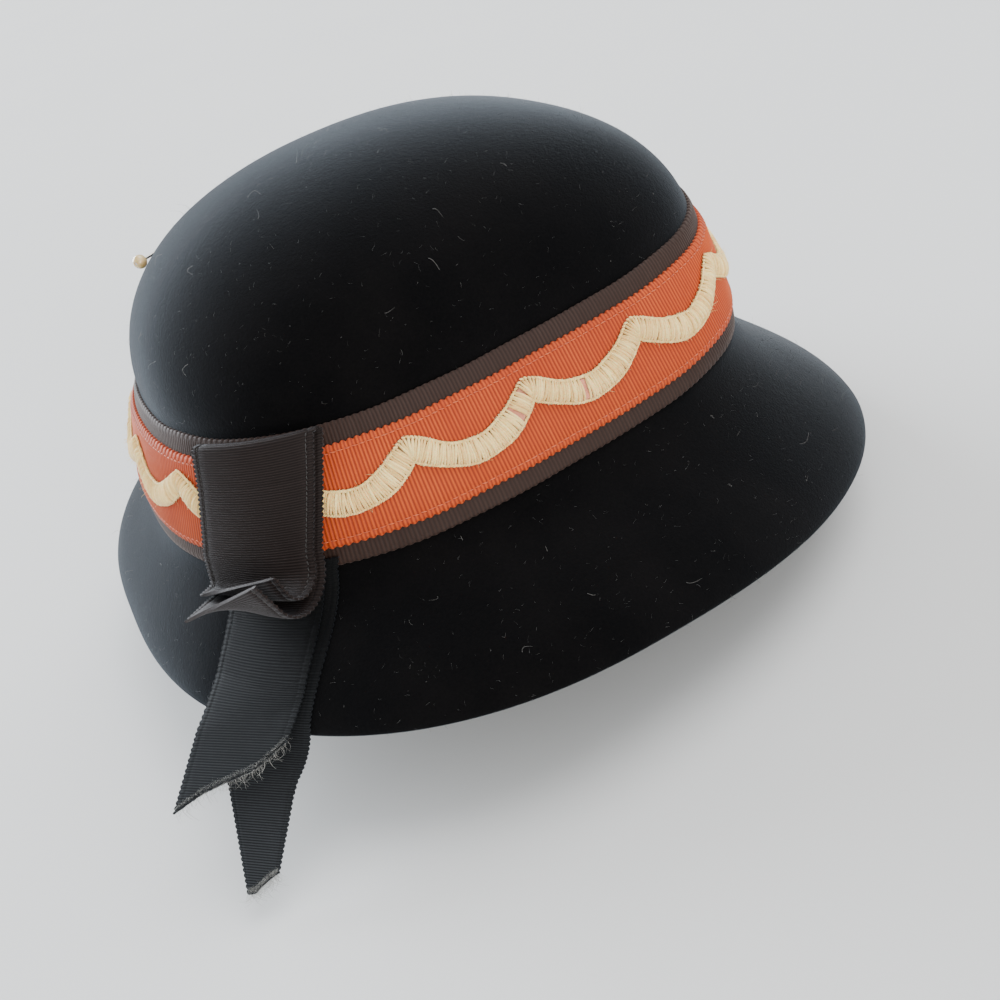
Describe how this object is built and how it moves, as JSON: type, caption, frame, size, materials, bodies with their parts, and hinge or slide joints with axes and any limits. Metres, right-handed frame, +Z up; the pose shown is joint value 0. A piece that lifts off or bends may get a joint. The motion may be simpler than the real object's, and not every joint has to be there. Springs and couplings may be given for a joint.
{
  "type": "cloche hat",
  "caption": "Black felt cloche hat with turned-down brim, brown and orange ribbon band, cream scallop trim, curled side bow with hanging tails and a bead-headed pin.",
  "frame": {"origin": "middle of the head opening, level with the lower edge of the ribbon band, where the wearer's head holds the hat", "axes": "+Z up through the crown, -Y to the front of the hat, -X to the wearer's right, the side of the bow"},
  "size_m": [0.2558, 0.2601, 0.1383],
  "materials": {
    "felt": "napped black wool felt",
    "brown_ribbon": "dark brown grosgrain",
    "orange_ribbon": "rust orange grosgrain",
    "cream_yarn": "cream wool and silk yarn",
    "black_ribbon": "brown-black grosgrain",
    "pearl": "pearly cream bead",
    "pin_steel": "polished wire"
  },
  "bodies": {
    "root": {"felt_hood": "felt", "band_ribbon": "brown_ribbon", "orange_ribbon": "orange_ribbon", "scallop_trim": "cream_yarn", "bow_fold": "black_ribbon", "bow_tail_upper": "black_ribbon", "bow_tail_lower": "black_ribbon", "pin_pearl": "pearl", "pin_shank": "pin_steel"}
  },
  "joints": []
}
